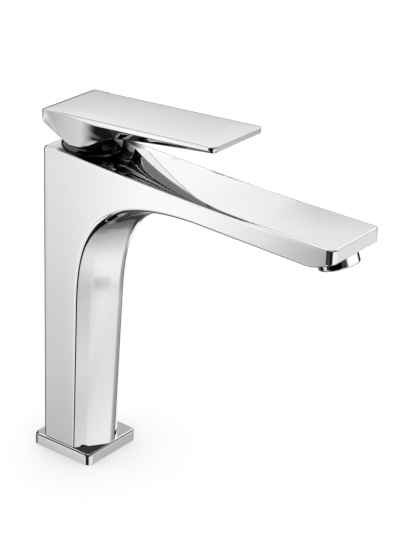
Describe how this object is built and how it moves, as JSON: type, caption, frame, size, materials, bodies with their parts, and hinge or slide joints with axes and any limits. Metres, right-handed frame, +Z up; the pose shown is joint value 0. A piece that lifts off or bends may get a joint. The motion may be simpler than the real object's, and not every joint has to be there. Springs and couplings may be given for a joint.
{
  "type": "single-lever basin mixer faucet",
  "caption": "Tall chrome basin mixer: flat-sided column with a V front, slab spout with a scalloped top, and a flat plate lever that lifts for flow and turns for temperature",
  "frame": {"origin": "centre of the base plate's underside, on the axis of the fixing stud's threaded hole, at the basin's surface", "axes": "+X along the spout, away from the column; +Z up; +Y to the left of someone looking along the spout from behind"},
  "size_m": [0.2229, 0.0484, 0.243],
  "materials": {
    "chrome": "polished chrome on cast brass",
    "brass": "machined brass",
    "copper": "drawn copper tube",
    "steel": "stainless steel",
    "rubber": "black EPDM rubber",
    "ceramic": "lapped alumina ceramic",
    "plastic_light": "moulded acetal",
    "plastic_dark": "moulded glass-filled nylon",
    "plastic_red": "moulded red acetal",
    "plastic_green": "moulded green acetal"
  },
  "bodies": {
    "mixer_body": {"body_shell": "chrome", "base_plate": "chrome", "base_gasket": "rubber", "foot_block": "brass", "foot_block_screws": "steel", "inlet_tube_hot": "copper", "inlet_tube_cold": "copper", "inlet_tube_seals": "rubber", "cartridge_base": "plastic_light", "cartridge_base_seals": "rubber", "ceramic_disc_fixed": "ceramic", "cartridge_housing": "plastic_light", "cartridge_nut": "brass", "cover_ring": "chrome", "spout_tube": "copper", "spout_tube_seals": "rubber", "aerator_housing": "chrome", "aerator_insert": "plastic_light", "flow_regulator": "plastic_green", "inlet_strainer": "plastic_light", "aerator_washer": "rubber"},
    "spindle": {"spindle_guide": "plastic_dark", "stem_pivot_pin": "steel", "temperature_limiter": "plastic_red"},
    "slider": {"disc_carrier": "plastic_dark", "ceramic_disc_moving": "ceramic"},
    "lever_arm": {"lever": "chrome", "lever_insert": "brass", "lever_set_screw": "steel", "lever_screw_plug": "chrome", "cartridge_stem": "brass"}
  },
  "joints": [
    {"name": "lever_turn", "type": "hinge", "parent": "mixer_body", "child": "spindle", "pos_m": [0.005, 0, 0.2], "axis": [0, 0, 1], "range_deg": [-45, 45]},
    {"name": "lever_lift", "type": "hinge", "parent": "spindle", "child": "lever_arm", "pos_m": [0.005, 0, 0.2], "axis": [0, -1, 0], "range_deg": [0, 25]},
    {"name": "disc_slide", "type": "slide", "parent": "spindle", "child": "slider", "axis": [1, 0, 0], "range_m": [0, 0.0045]}
  ],
  "couplings": [
    {"joint": "disc_slide", "follows": "lever_lift", "m_per_rad": 0.01}
  ]
}
